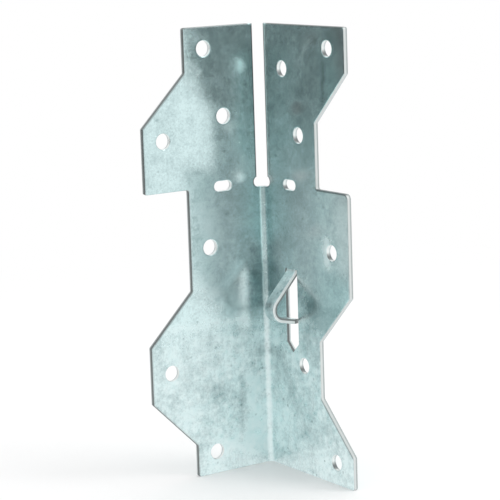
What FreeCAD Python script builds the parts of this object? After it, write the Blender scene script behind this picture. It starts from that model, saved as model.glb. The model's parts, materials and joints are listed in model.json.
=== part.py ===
import FreeCAD, Part
import math
import os
import Sketcher

# Framing angle: one piece of galvanised sheet, pierced flat and folded once to a right angle.
# The two legs have the same zigzag edge with wide and narrow swapped, so blanks nest without waste.
# An open slot runs down the fold from the top edge to a keyhole, so that the two upper ears can be
# bent on site along the line of obround slots that crosses both legs at the level of the step.
# One leg carries a driving prong: a pointed strip pierced out of the sheet, looped forwards and
# turned back through its own window, which a hammer blow on the loop drives into the timber.
#
# The body is drawn with its heel line on Z, the left leg along X and the right leg along Y, both
# with their outer faces on the coordinate planes, and is then turned so that its inside faces front.

NODE = "framing_angle"

# Driving sizes, millimetres and degrees.
SIZES = {
    # Sheet, fold and outline
    "sheet_thickness": 1.2,
    "bend_radius": 1.5,
    "leg_wide": 36.5,
    "leg_narrow": 23.8,
    "bottom_straight": 8.3,
    "lower_straight": 14.6,
    "waist_straight": 25.8,
    "ear_straight": 16.3,
    "top_straight": 11.2,
    "chamfer_rise": 12.7,
    "corner_round": 0.6,
    "step_round": 1.3,
    # Open slot on the fold, its keyhole, and the obround slots of the site bend
    "slot_margin": 0.4,
    "keyhole_width": 2.6,
    "bend_mark_length": 5.2,
    "bend_mark_width": 2.6,
    "left_mark_gauge": 13.5,
    "right_mark_gauge": 12.6,
    # Nail holes: distances to the edges, to the bend line and from the heel
    "nail_diameter": 4.0,
    "left_edge_distance": 5.8,
    "right_edge_distance": 6.9,
    "bottom_end_distance": 5.7,
    "top_end_distance": 5.4,
    "nails_above_bend": 12.8,
    "nails_below_bend": 15.2,
    "left_inner_gauge": 12.7,
    "left_inner_rise": 17.6,
    "right_inner_gauge": 10.7,
    "right_inner_drop": 11.1,
    # Driving prong on the right leg
    "prong_gauge": 12.3,
    "prong_width": 3.7,
    "prong_slit": 0.6,
    "prong_root_drop": 21.5,
    "prong_root_radius": 1.0,
    "prong_slant": 42.5,
    "prong_reach": 7.2,
    "prong_loop_radius": 2.3,
    "prong_fall": 12.0,
    "prong_tail": 6.3,
    "prong_point": 2.4,
    "prong_stretch": 1.045,
}

# Sizes that follow from the driving ones.
DERIVED = {
    # The outer bend radius is also how far the flat of a leg starts from the heel
    "outer_radius": "sheet_thickness + bend_radius",
    "slot_edge": "outer_radius + slot_margin",
    # Heights of the corners of the outline
    "level_1": "bottom_straight",
    "level_2": "level_1 + chamfer_rise",
    "level_3": "level_2 + lower_straight",
    "level_4": "level_3 + chamfer_rise",
    "bend_level": "level_4 + waist_straight",
    "level_5": "bend_level + ear_straight",
    "level_6": "level_5 + chamfer_rise",
    "height": "level_6 + top_straight",
    "keyhole_radius": "keyhole_width / 2",
    "fold_height": "bend_level - keyhole_radius",
    # Gauge lines and rows of the nail holes
    "left_wide_gauge": "leg_wide - left_edge_distance",
    "left_narrow_gauge": "leg_narrow - left_edge_distance",
    "right_wide_gauge": "leg_wide - right_edge_distance",
    "right_narrow_gauge": "leg_narrow - right_edge_distance",
    "bottom_row": "bottom_end_distance",
    "lower_row": "(level_2 + level_3) / 2",
    "waist_row": "bend_level - nails_below_bend",
    "ear_row": "bend_level + nails_above_bend",
    "top_row": "height - top_end_distance",
    "left_inner_row": "bend_level + left_inner_rise",
    "right_inner_row": "height - right_inner_drop",
    # Middle line of the prong strip, from its root down to its tip
    "strip_middle": "sheet_thickness / 2",
    "root_level": "bend_level - prong_root_drop",
    "root_bend": "prong_root_radius + strip_middle",
    "loop_bend": "prong_loop_radius + strip_middle",
    "root_end_across": "strip_middle + root_bend * (1 - cos(prong_slant))",
    "root_end_up": "root_level - root_bend * sin(prong_slant)",
    "loop_centre_across": "prong_reach - prong_loop_radius",
    "slant_end_across": "loop_centre_across + loop_bend * cos(prong_slant)",
    "slant_length": "(slant_end_across - root_end_across) / sin(prong_slant)",
    "slant_end_up": "root_end_up - slant_length * cos(prong_slant)",
    "loop_centre_up": "slant_end_up - loop_bend * sin(prong_slant)",
    "loop_turn": "prong_slant + 90 - prong_fall",
    "loop_end_across": "loop_centre_across + loop_bend * sin(prong_fall)",
    "loop_end_up": "loop_centre_up - loop_bend * cos(prong_fall)",
    "tip_across": "loop_end_across - prong_tail * cos(prong_fall)",
    "point_start_across": "tip_across + prong_point * cos(prong_fall)",
    # The strip is drawn past its tip by a sheet thickness, and the point is then cut from it
    "strip_end_across": "tip_across - sheet_thickness * cos(prong_fall)",
    "strip_end_up": "loop_end_up - (prong_tail + sheet_thickness) * sin(prong_fall)",
    "strip_left": "prong_gauge - prong_width / 2",
    "strip_right": "prong_gauge + prong_width / 2",
    # The window is the hole that the strip leaves: as long as the strip was before looping stretched it
    "strip_length": "root_bend * prong_slant * pi / 180 + slant_length"
                    " + loop_bend * loop_turn * pi / 180 + prong_tail",
    "window_left": "strip_left - prong_slit",
    "window_right": "strip_right + prong_slit",
    "window_tip": "root_level - strip_length / prong_stretch",
    "window_shoulder": "window_tip + prong_point",
    # Room round the prong's point for the cut that shapes it
    "cut_left": "strip_left - prong_slit / 2",
    "cut_right": "strip_right + prong_slit / 2",
    "cut_clear": "2 * sheet_thickness",
    "cut_depth": "loop_bend + 3 * sheet_thickness",
}

doc = FreeCAD.newDocument("FramingAngle")
sheet = doc.addObject("Spreadsheet::Sheet", "Sizes")


def fill_sheet():
    """Write every size and every derived size to the sheet, each under its own alias."""
    cells = {name: str(size) for name, size in SIZES.items()}
    cells.update({name: "=" + formula for name, formula in DERIVED.items()})
    for row, name in enumerate(cells, start=1):
        sheet.set(f"A{row}", name)
        sheet.setAlias(f"B{row}", name)
    for row, content in enumerate(cells.values(), start=1):
        sheet.set(f"B{row}", content)
    doc.recompute()


def size(name):
    """The present value of a size in the sheet."""
    return float(sheet.get(name))


def bind(feature, prop, name):
    """Tie a property of a feature to a size in the sheet."""
    feature.setExpression(prop, f"Sizes.{name}")


def origin_plane(body, role):
    """One of the body's own origin planes."""
    for plane in body.Origin.OriginFeatures:
        if plane.Role == role:
            return plane
    raise ValueError(f"no origin plane {role}")


def new_sketch(body, name, role, offset=None):
    """A sketch on an origin plane of the body, moved along the plane's normal by an expression."""
    sketch = body.newObject("Sketcher::SketchObject", name)
    sketch.AttachmentSupport = [(origin_plane(body, role), "")]
    sketch.MapMode = "FlatFace"
    if offset:
        sketch.setExpression("AttachmentOffset.Base.z", offset)
    return sketch


# The sketcher counts its own axes down from -1, and the points of an element up from 1
HORIZONTAL_AXIS, VERTICAL_AXIS = range(-1, -3, -1)
START, END, CENTRE = range(1, 4)
ORIGIN = (HORIZONTAL_AXIS, START)


def pin(sketch, element, point, across, up):
    """Hold a point of a sketch at two sizes of the sheet; None holds it on the axis."""
    for kind, name, axis in (("DistanceX", across, VERTICAL_AXIS), ("DistanceY", up, HORIZONTAL_AXIS)):
        if name is None:
            sketch.addConstraint(Sketcher.Constraint("PointOnObject", element, point, axis))
            continue
        index = sketch.addConstraint(Sketcher.Constraint(kind, *ORIGIN, element, point, size(name)))
        bind(sketch, f"Constraints[{index}]", name)


def fix_radius(sketch, element, kind, name):
    """Tie the radius or diameter of an arc or circle to a size in the sheet."""
    index = sketch.addConstraint(Sketcher.Constraint(kind, element, size(name)))
    bind(sketch, f"Constraints[{index}]", name)


def join(sketch, element, point, other, other_point):
    """Make two points of a sketch one."""
    sketch.addConstraint(Sketcher.Constraint("Coincident", element, point, other, other_point))


def place(across, up):
    """A point in a sketch's plane from two sizes of the sheet."""
    return FreeCAD.Vector(size(across) if across else 0, size(up) if up else 0, 0)


def add_line(sketch, first, last):
    """A straight edge between two places, each a pair of sizes."""
    return sketch.addGeometry(Part.LineSegment(place(*first), place(*last)))


def add_arc(sketch, centre, radius, first_degrees, last_degrees):
    """An arc, counterclockwise, about a place."""
    circle = Part.Circle(place(*centre), FreeCAD.Vector(0, 0, 1), size(radius))
    return sketch.addGeometry(
        Part.ArcOfCircle(circle, math.radians(first_degrees), math.radians(last_degrees)))


def add_polygon(sketch, corners):
    """A closed outline of straight edges through places that are pairs of sizes."""
    sides = [add_line(sketch, corner, corners[(i + 1) % len(corners)]) for i, corner in enumerate(corners)]
    for i, side in enumerate(sides):
        join(sketch, side, START, sides[i - 1], END)
        pin(sketch, side, START, *corners[i])


def pad(body, sketch, name, length, reverse=False):
    """Add material along the sketch's normal."""
    feature = body.newObject("PartDesign::Pad", name)
    feature.Profile = sketch
    feature.Reversed = reverse
    bind(feature, "Length", length)
    doc.recompute()
    return feature


def pocket(body, sketch, name, length, reverse=False):
    """Remove material against the sketch's normal, and make sure that some was removed."""
    before = body.Shape.Volume
    feature = body.newObject("PartDesign::Pocket", name)
    feature.Profile = sketch
    feature.Reversed = reverse
    bind(feature, "Length", length)
    doc.recompute()
    if feature.Shape.Volume >= before:
        raise ValueError(f"{name} cuts nothing")
    return feature


def zigzag(bottom_width, other_width):
    """Corners of a leg's edge from the bottom up: its width changes at each chamfer and at the step."""
    widths = [bottom_width, bottom_width, other_width, other_width, bottom_width,
              bottom_width, other_width, other_width, bottom_width, bottom_width]
    levels = [None, "level_1", "level_2", "level_3", "level_4",
              "bend_level", "bend_level", "level_5", "level_6", "height"]
    return list(zip(widths, levels))


def add_leg(body, name, role, edge, reverse):
    """A flat leg: its zigzag edge, the side of the open slot and its half of the keyhole."""
    sketch = new_sketch(body, name + "Outline", role)
    corners = [("outer_radius", None), *edge, ("slot_edge", "height")]
    sides = [add_line(sketch, corner, following) for corner, following in zip(corners, corners[1:])]
    for i, side in enumerate(sides):
        pin(sketch, side, START, *corners[i])
        if i:
            join(sketch, side, START, sides[i - 1], END)
    pin(sketch, sides[-1], END, *corners[-1])
    keyhole_end = math.degrees(math.acos(size("slot_margin") / size("keyhole_radius")))
    keyhole = add_arc(sketch, ("outer_radius", "bend_level"), "keyhole_radius", -90, keyhole_end)
    pin(sketch, keyhole, CENTRE, "outer_radius", "bend_level")
    fix_radius(sketch, keyhole, "Radius", "keyhole_radius")
    slot_foot = size("bend_level") + math.sqrt(size("keyhole_radius") ** 2 - size("slot_margin") ** 2)
    slot_side = sketch.addGeometry(Part.LineSegment(
        place("slot_edge", "height"), FreeCAD.Vector(size("slot_edge"), slot_foot, 0)))
    fold_side = add_line(sketch, ("outer_radius", "fold_height"), ("outer_radius", None))
    join(sketch, slot_side, START, sides[-1], END)
    join(sketch, slot_side, END, keyhole, END)
    join(sketch, keyhole, START, fold_side, START)
    join(sketch, fold_side, END, sides[0], START)
    sketch.addConstraint(Sketcher.Constraint("Vertical", slot_side))
    sketch.addConstraint(Sketcher.Constraint("Vertical", fold_side))
    return pad(body, sketch, name, "sheet_thickness", reverse)


def add_fold(body):
    """The quarter-round fold between the legs, from the bottom edge up to the keyhole."""
    sketch = new_sketch(body, "FoldSection", "XY_Plane")
    centre = ("outer_radius", "outer_radius")
    outer = add_arc(sketch, centre, "outer_radius", 180, 270)
    inner = add_arc(sketch, centre, "bend_radius", 180, 270)
    right_end = add_line(sketch, (None, "outer_radius"), ("sheet_thickness", "outer_radius"))
    left_end = add_line(sketch, ("outer_radius", None), ("outer_radius", "sheet_thickness"))
    pin(sketch, right_end, START, None, "outer_radius")
    pin(sketch, right_end, END, "sheet_thickness", "outer_radius")
    pin(sketch, left_end, START, "outer_radius", None)
    pin(sketch, left_end, END, "outer_radius", "sheet_thickness")
    for arc, radius, point in ((outer, "outer_radius", START), (inner, "bend_radius", END)):
        join(sketch, arc, START, right_end, point)
        join(sketch, arc, END, left_end, point)
        fix_radius(sketch, arc, "Radius", radius)
    return pad(body, sketch, "Fold", "fold_height")


def add_nail_holes(body, name, role, places, reverse):
    """Round nail holes through one leg."""
    sketch = new_sketch(body, name + "Centres", role)
    for gauge, row in places:
        circle = sketch.addGeometry(
            Part.Circle(place(gauge, row), FreeCAD.Vector(0, 0, 1), size("nail_diameter") / 2))
        pin(sketch, circle, CENTRE, gauge, row)
        fix_radius(sketch, circle, "Diameter", "nail_diameter")
    doc.recompute()
    before = body.Shape.Volume
    hole = body.newObject("PartDesign::Hole", name)
    hole.Profile = sketch
    hole.Reversed = reverse
    hole.ThreadType = "None"
    hole.DepthType = "ThroughAll"
    hole.DrillPoint = "Flat"
    bind(hole, "Diameter", "nail_diameter")
    doc.recompute()
    punched = len(places) * math.pi * size("nail_diameter") ** 2 / 4 * size("sheet_thickness")
    if abs(before - hole.Shape.Volume - punched) > 0.01 * punched:
        raise ValueError(f"{name} does not go through the sheet")
    return hole


def add_bend_mark(body, name, role, gauge, reverse):
    """The obround slot that marks and eases the site bend across one leg."""
    sketch = new_sketch(body, name + "Outline", role)
    reach = size("bend_mark_length") / 2 - size("bend_mark_width") / 2
    half = size("bend_mark_width") / 2
    middle = place(gauge, "bend_level")
    normal = FreeCAD.Vector(0, 0, 1)
    ends = []
    for side, first in ((1, -math.pi / 2), (-1, math.pi / 2)):
        circle = Part.Circle(middle + FreeCAD.Vector(side * reach, 0, 0), normal, half)
        ends.append(sketch.addGeometry(Part.ArcOfCircle(circle, first, first + math.pi)))
    edges = []
    for side in (1, -1):
        start = middle + FreeCAD.Vector(side * reach, side * half, 0)
        finish = middle + FreeCAD.Vector(-side * reach, side * half, 0)
        edges.append(sketch.addGeometry(Part.LineSegment(start, finish)))
    for arc, following, other in ((ends[0], edges[0], ends[1]), (ends[1], edges[1], ends[0])):
        sketch.addConstraint(Sketcher.Constraint("Tangent", arc, END, following, START))
        sketch.addConstraint(Sketcher.Constraint("Tangent", following, END, other, START))
    sketch.addConstraint(Sketcher.Constraint("Horizontal", edges[0]))
    mark = sketch.addGeometry(Part.Point(middle))
    pin(sketch, mark, START, gauge, "bend_level")
    sketch.addConstraint(Sketcher.Constraint("Symmetric", ends[0], CENTRE, ends[1], CENTRE, mark, START))
    width = sketch.addConstraint(Sketcher.Constraint("Radius", ends[0], half))
    sketch.setExpression(f"Constraints[{width}]", "Sizes.bend_mark_width / 2")
    span = sketch.addConstraint(Sketcher.Constraint("Distance", edges[0], 2 * reach))
    sketch.setExpression(f"Constraints[{span}]", "Sizes.bend_mark_length - Sizes.bend_mark_width")
    sketch.setConstruction(mark, True)
    return pocket(body, sketch, name, "sheet_thickness", reverse)


def add_window(body):
    """The opening in the right leg that the prong was pierced from, pointed like the prong."""
    sketch = new_sketch(body, "WindowOutline", "YZ_Plane")
    add_polygon(sketch, [("window_left", "root_level"), ("window_left", "window_shoulder"),
                         ("prong_gauge", "window_tip"), ("window_right", "window_shoulder"),
                         ("window_right", "root_level")])
    return pocket(body, sketch, "Window", "sheet_thickness", reverse=True)


def add_prong(body):
    """The prong: the strip's section carried along its bent middle line, then cut to a point."""
    section = new_sketch(body, "ProngSection", "XY_Plane", "Sizes.root_level")
    add_polygon(section, [(None, "strip_left"), ("sheet_thickness", "strip_left"),
                          ("sheet_thickness", "strip_right"), (None, "strip_right")])
    path = new_sketch(body, "ProngPath", "XZ_Plane", "-Sizes.prong_gauge")
    root = ("strip_middle", "root_level")
    root_end = ("root_end_across", "root_end_up")
    slant_end = ("slant_end_across", "slant_end_up")
    loop_end = ("loop_end_across", "loop_end_up")
    root_arc = path.addGeometry(Part.ArcOfCircle(
        Part.Circle(place(*root) + FreeCAD.Vector(size("root_bend"), 0, 0), FreeCAD.Vector(0, 0, 1),
                    size("root_bend")),
        math.pi, math.pi + math.radians(size("prong_slant"))))
    slant = add_line(path, root_end, slant_end)
    loop_arc = add_arc(path, ("loop_centre_across", "loop_centre_up"), "loop_bend",
                       size("prong_fall") - 90, size("prong_slant"))
    run = add_line(path, loop_end, ("strip_end_across", "strip_end_up"))
    pin(path, root_arc, START, *root)
    pin(path, slant, START, *root_end)
    pin(path, slant, END, *slant_end)
    pin(path, run, START, *loop_end)
    pin(path, run, END, "strip_end_across", "strip_end_up")
    join(path, root_arc, END, slant, START)
    join(path, loop_arc, END, slant, END)
    join(path, loop_arc, START, run, START)
    fix_radius(path, root_arc, "Radius", "root_bend")
    fix_radius(path, loop_arc, "Radius", "loop_bend")
    doc.recompute()
    before = body.Shape.Volume
    strip = body.newObject("PartDesign::AdditivePipe", "ProngStrip")
    strip.Profile = section
    strip.Spine = path
    doc.recompute()
    drawn = (size("strip_length") + size("sheet_thickness")) * size("prong_width") * size("sheet_thickness")
    if abs(strip.Shape.Volume - before - drawn) > 0.01 * drawn:
        raise ValueError("the prong's strip is not its section times its length")
    point = new_sketch(body, "ProngPointOutline", "XY_Plane", "Sizes.loop_centre_up")
    for cut_side, strip_side in (("cut_left", "strip_left"), ("cut_right", "strip_right")):
        add_point_cut(point, cut_side, strip_side)
    return pocket(body, point, "ProngPoint", "cut_depth")


def add_point_cut(sketch, cut_side, strip_side):
    """Half of the cut that points the prong: from the tip back to the strip's full width."""
    tip = ("tip_across", "prong_gauge")
    shoulder = ("point_start_across", strip_side)
    clear = size("tip_across") - size("cut_clear")
    places = [place(*tip), place(*shoulder), place("point_start_across", cut_side),
              FreeCAD.Vector(clear, size(cut_side), 0), FreeCAD.Vector(clear, size("prong_gauge"), 0)]
    sides = [sketch.addGeometry(Part.LineSegment(spot, places[(i + 1) % len(places)]))
             for i, spot in enumerate(places)]
    for i, side in enumerate(sides):
        join(sketch, side, START, sides[i - 1], END)
    pin(sketch, sides[0], START, *tip)
    pin(sketch, sides[1], START, *shoulder)
    pin(sketch, sides[2], START, "point_start_across", cut_side)
    sketch.addConstraint(Sketcher.Constraint("Horizontal", sides[2]))
    sketch.addConstraint(Sketcher.Constraint("Vertical", sides[3]))
    sketch.addConstraint(Sketcher.Constraint("Horizontal", sides[4]))
    index = sketch.addConstraint(Sketcher.Constraint("Distance", sides[4], size("cut_clear")))
    bind(sketch, f"Constraints[{index}]", "cut_clear")


def corner_edges(shape, corners, across_axis):
    """Names of the edges through the sheet at given corners of a leg's outline."""
    wanted = [(size(width), size(level) if level else 0) for width, level in corners]
    found = []
    for number, edge in enumerate(shape.Edges, start=1):
        first, last = edge.firstVertex().Point, edge.lastVertex().Point
        across, up = first[across_axis], first.z
        runs_through = abs(last[across_axis] - across) < 1e-4 and abs(last.z - up) < 1e-4
        at_corner = any(abs(across - w) < 1e-4 and abs(up - level) < 1e-4 for w, level in wanted)
        if runs_through and at_corner:
            found.append(f"Edge{number}")
    if len(found) != len(wanted):
        raise ValueError(f"{len(found)} corner edges found, {len(wanted)} wanted")
    return found


def round_corners(body, name, corners, across_axis, radius):
    """Round corners of a leg's outline."""
    base = body.Tip
    feature = body.newObject("PartDesign::Fillet", name)
    feature.Base = (base, corner_edges(base.Shape, corners, across_axis))
    bind(feature, "Radius", radius)
    doc.recompute()
    return feature


def build_angle():
    """The whole angle, turned so that the inside of the fold faces front."""
    body = doc.addObject("PartDesign::Body", "FramingAngle")
    body.Label = NODE
    left_edge = zigzag("leg_narrow", "leg_wide")
    right_edge = zigzag("leg_wide", "leg_narrow")
    add_leg(body, "LeftLeg", "XZ_Plane", left_edge, reverse=True)
    add_leg(body, "RightLeg", "YZ_Plane", right_edge, reverse=False)
    add_fold(body)
    add_nail_holes(body, "LeftNailHoles", "XZ_Plane", [
        ("left_narrow_gauge", "bottom_row"), ("left_wide_gauge", "lower_row"),
        ("left_narrow_gauge", "waist_row"), ("left_wide_gauge", "ear_row"),
        ("left_inner_gauge", "left_inner_row"), ("left_narrow_gauge", "top_row")], reverse=False)
    add_nail_holes(body, "RightNailHoles", "YZ_Plane", [
        ("right_wide_gauge", "bottom_row"), ("right_narrow_gauge", "lower_row"),
        ("right_wide_gauge", "waist_row"), ("right_narrow_gauge", "ear_row"),
        ("right_inner_gauge", "right_inner_row"), ("right_wide_gauge", "top_row")], reverse=True)
    add_bend_mark(body, "LeftBendMark", "XZ_Plane", "left_mark_gauge", reverse=False)
    add_bend_mark(body, "RightBendMark", "YZ_Plane", "right_mark_gauge", reverse=True)
    add_window(body)
    add_prong(body)
    step_corner = ("leg_wide", "bend_level")
    round_corners(body, "LeftCorners", left_edge, 0, "corner_round")
    round_corners(body, "RightCorners", [c for c in right_edge if c != step_corner], 1, "corner_round")
    round_corners(body, "RightStepCorner", [step_corner], 1, "step_round")
    body.Placement = FreeCAD.Placement(
        FreeCAD.Vector(0, 0, 0), FreeCAD.Rotation(FreeCAD.Vector(0, 0, 1), 180))
    doc.recompute()
    return body


def check(body):
    """Stop unless every object is sound and the angle is one valid solid."""
    for item in doc.Objects:
        if "Invalid" in item.State or "Error" in item.State:
            raise ValueError(f"{item.Label} failed: {item.State}")
    shape = body.Shape
    if shape.isNull() or not shape.isValid() or len(shape.Solids) != 1:
        raise ValueError("the angle is not one valid solid")


fill_sheet()
angle = build_angle()
check(angle)
os.makedirs("parts", exist_ok=True)
angle.Shape.exportStep(f"parts/{NODE}.step")
box = angle.Shape.BoundBox
print(f"{NODE}: {box.XLength:.2f} x {box.YLength:.2f} x {box.ZLength:.2f} mm, {angle.Shape.Volume:.1f} mm3")
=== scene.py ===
import json
import math
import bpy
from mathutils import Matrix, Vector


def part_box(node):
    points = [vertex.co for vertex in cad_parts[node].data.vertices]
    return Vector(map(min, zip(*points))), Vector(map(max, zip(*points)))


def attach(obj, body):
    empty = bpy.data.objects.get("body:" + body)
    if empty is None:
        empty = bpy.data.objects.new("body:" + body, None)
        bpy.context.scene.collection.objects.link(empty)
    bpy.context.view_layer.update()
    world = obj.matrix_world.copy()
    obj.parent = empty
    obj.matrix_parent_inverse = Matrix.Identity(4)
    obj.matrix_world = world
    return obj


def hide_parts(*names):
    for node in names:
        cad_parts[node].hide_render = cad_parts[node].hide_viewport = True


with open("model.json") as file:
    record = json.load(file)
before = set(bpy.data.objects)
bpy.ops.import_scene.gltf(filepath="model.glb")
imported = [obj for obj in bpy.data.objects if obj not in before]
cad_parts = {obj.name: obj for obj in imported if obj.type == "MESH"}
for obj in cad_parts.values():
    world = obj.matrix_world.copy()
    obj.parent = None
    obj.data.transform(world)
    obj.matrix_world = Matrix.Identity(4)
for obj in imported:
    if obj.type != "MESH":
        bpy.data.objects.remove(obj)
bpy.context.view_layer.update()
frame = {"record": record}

from types import SimpleNamespace

import bpy
import numpy as np
from mathutils import Matrix, Vector
from mathutils.geometry import delaunay_2d_cdt

bl_info = {
    "name": "Framing Angle",
    "version": (1, 0, 0),
    "blender": (4, 5, 0),
    "location": "View3D > Sidebar > Framing Angle",
    "description": "Folds a pierced galvanised sheet into a framing angle and sets it on a plain stage",
    "category": "Add Mesh",
}

MM = 0.001
NODE = "framing_angle"
BODY = "root"

NODE_LOW, NODE_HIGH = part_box(NODE)
NAIL_RADIUS_MM = next(
    mount["dims"]["hole_r_mm"] for mount in frame["record"]["mounts"] if mount["kind"] == "bolt_pattern")

LEFT, RIGHT = -1, 1

# How finely the surface is divided.
MESH_STEP = 0.9 * MM
PRONG_STEP = 0.2 * MM
PRONG_COLUMNS = 6
FOLD_COLUMNS = 17
HOLE_POINTS = 48
KEYHOLE_POINTS = 13
CORNER_POINTS = 7
ROLL_POINTS = 6
TORN_ROWS = 2
# Points closer than this, in millimetres, are one; edges that turn by more than this angle are sharp.
WELD_MM = 1e-6
SHARP_ANGLE = math.radians(50)


def length(name, description, millimetres):
    """A length property, given in millimetres."""
    return bpy.props.FloatProperty(
        name=name, description=description, default=millimetres * MM, subtype="DISTANCE", unit="LENGTH")


def turn(name, description, degrees):
    """An angle property, given in degrees."""
    return bpy.props.FloatProperty(
        name=name, description=description, default=math.radians(degrees), subtype="ANGLE", unit="ROTATION")


def share(name, description, default):
    """A property from 0 to 1."""
    return bpy.props.FloatProperty(
        name=name, description=description, default=default, min=0.0, max=1.0, subtype="FACTOR")


def colour(name, description, default):
    """A linear colour property."""
    return bpy.props.FloatVectorProperty(
        name=name, description=description, default=default, min=0.0, max=1.0, size=3, subtype="COLOR")


class AngleSheet(bpy.types.PropertyGroup):
    """The sheet, its fold, its zigzag outline and its slots."""

    thickness: length("Thickness", "Thickness of the sheet", 1.2)
    bend_radius: length("Bend radius", "Inner radius of the fold", 1.5)
    leg_wide: length("Wide leg", "Width of a leg at its ears", -NODE_LOW.x / MM)
    leg_narrow: length("Narrow leg", "Width of a leg at its waists", 23.8)
    height: length("Height", "Height of the angle", NODE_HIGH.z / MM)
    bottom_straight: length("Bottom straight", "Straight edge above the bottom corner", 8.3)
    lower_straight: length("Lower straight", "Straight edge between the two lower chamfers", 14.6)
    waist_straight: length("Waist straight", "Straight edge below the step", 25.8)
    ear_straight: length("Ear straight", "Straight edge above the step", 16.3)
    chamfer_rise: length("Chamfer rise", "Height of each chamfer", 12.7)
    corner_round: length("Corner round", "Radius of the outline's corners", 0.6)
    step_round: length("Step round", "Radius of the right leg's step corner", 1.3)
    slot_margin: length("Slot margin", "Distance of the open slot's sides from the fold", 0.4)
    keyhole_width: length("Keyhole width", "Height of the keyhole at the foot of the open slot", 2.6)
    mark_length: length("Bend slot length", "Length of the obround slots of the site bend", 5.2)
    mark_width: length("Bend slot width", "Width of the obround slots of the site bend", 2.6)
    left_mark_gauge: length("Left bend slot", "Distance of the left bend slot from the heel", 13.5)
    right_mark_gauge: length("Right bend slot", "Distance of the right bend slot from the heel", 12.6)


class AngleNails(bpy.types.PropertyGroup):
    """The nail holes: distances to the edges, to the bend line and from the heel."""

    diameter: length("Diameter", "Diameter of a nail hole", 2 * NAIL_RADIUS_MM)
    left_edge: length("Left edge distance", "From the left leg's edge to its holes", 5.8)
    right_edge: length("Right edge distance", "From the right leg's edge to its holes", 6.9)
    bottom_end: length("Bottom end distance", "From the bottom edge to the lowest holes", 5.7)
    top_end: length("Top end distance", "From the top edge to the highest holes", 5.4)
    above_bend: length("Above the bend", "From the bend line up to the ear holes", 12.8)
    below_bend: length("Below the bend", "From the bend line down to the waist holes", 15.2)
    left_inner_gauge: length("Left inner gauge", "From the heel to the left inner hole", 12.7)
    left_inner_rise: length("Left inner rise", "From the bend line up to the left inner hole", 17.6)
    right_inner_gauge: length("Right inner gauge", "From the heel to the right inner hole", 10.7)
    right_inner_drop: length("Right inner drop", "From the top edge down to the right inner hole", 11.1)


class AngleProng(bpy.types.PropertyGroup):
    """The driving prong of the right leg."""

    gauge: length("Gauge", "From the heel to the middle of the prong", 12.3)
    width: length("Width", "Width of the strip", 3.7)
    slit: length("Slit", "Gap between the strip and each side of its window", 0.6)
    root_drop: length("Root drop", "From the bend line down to the root", 21.5)
    root_radius: length("Root radius", "Inner radius of the bend at the root", 1.0)
    slant: turn("Slant", "Slope of the strip away from the leg", 42.5)
    reach: length("Reach", "How far the loop's hollow stands from the outer face", 7.2)
    loop_radius: length("Loop radius", "Inner radius of the loop", 2.3)
    fall: turn("Fall", "Slope of the tail that runs back through the window", 12.0)
    tail: length("Tail", "Length of the tail from the loop to the tip", 6.24)
    point: length("Point", "Length of the pointed end", 2.4)
    stretch: bpy.props.FloatProperty(
        name="Stretch", description="Length of the looped strip over the length of its window", default=1.045)


class AngleEdges(bpy.types.PropertyGroup):
    """The section of a pierced edge, from the inner face to the outer one."""

    lead_in: length("Lead-in", "Flat margin beside the rolled edge", 0.5)
    roll_width: length("Roll width", "How far the rolled edge reaches over the inner face", 0.2)
    roll_depth: length("Roll depth", "How deep the rolled edge goes", 0.18)
    burnish_depth: length("Burnish depth", "Depth at which the bright shear band ends", 0.72)
    fracture_lean: length("Fracture lean", "How far the torn band leans back under the edge", 0.05)


class AngleZinc(bpy.types.PropertyGroup):
    """The galvanised finish and the bare cut steel."""

    pale: colour("Pale zinc", "Clean zinc where it has the least tint", (0.725, 0.835, 0.845))
    teal: colour("Teal zinc", "Clean zinc where it has the most tint", (0.67, 1.0, 1.0))
    dull: colour("Dull zinc", "Dulled zinc", (0.28, 0.39, 0.40))
    chalk: colour("Chalky zinc", "The matt bloom on weathered zinc", (0.88, 1.0, 1.0))
    burnish: colour("Burnished steel", "The bright band of a pierced edge", (0.90, 0.95, 0.94))
    fracture: colour("Torn steel", "The dark band of a pierced edge", (0.64, 0.70, 0.70))
    # Dark steel on the pierced edges, mostly painted shade.
    painted_edge_shade: colour("Soiled steel", "Pierced edges on which dust has settled", (0.16, 0.18, 0.18))
    roughness: share("Roughness", "Roughness of the zinc", 0.185)
    metal: share("Metal", "Share of the light that clean zinc sends back as a metal does", 0.92)
    spangle_size: length("Spangle", "Size of the zinc's crystals", 3.2)
    mottle_size: length("Mottling", "Size of the zinc's cloudy spots", 7.0)
    blotch_size: length("Blotches", "Size of the spots on weathered zinc", 1.6)
    grain_size: length("Grain", "Size of the zinc's fine grain", 0.5)
    speck_size: length("Speck spacing", "Distance between the zinc's dark specks", 2.4)
    relief: length("Relief", "Height of the zinc's unevenness", 0.009)
    weathered: length("Weathered height", "Height up to which the zinc is weathered", 38.0)


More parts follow.
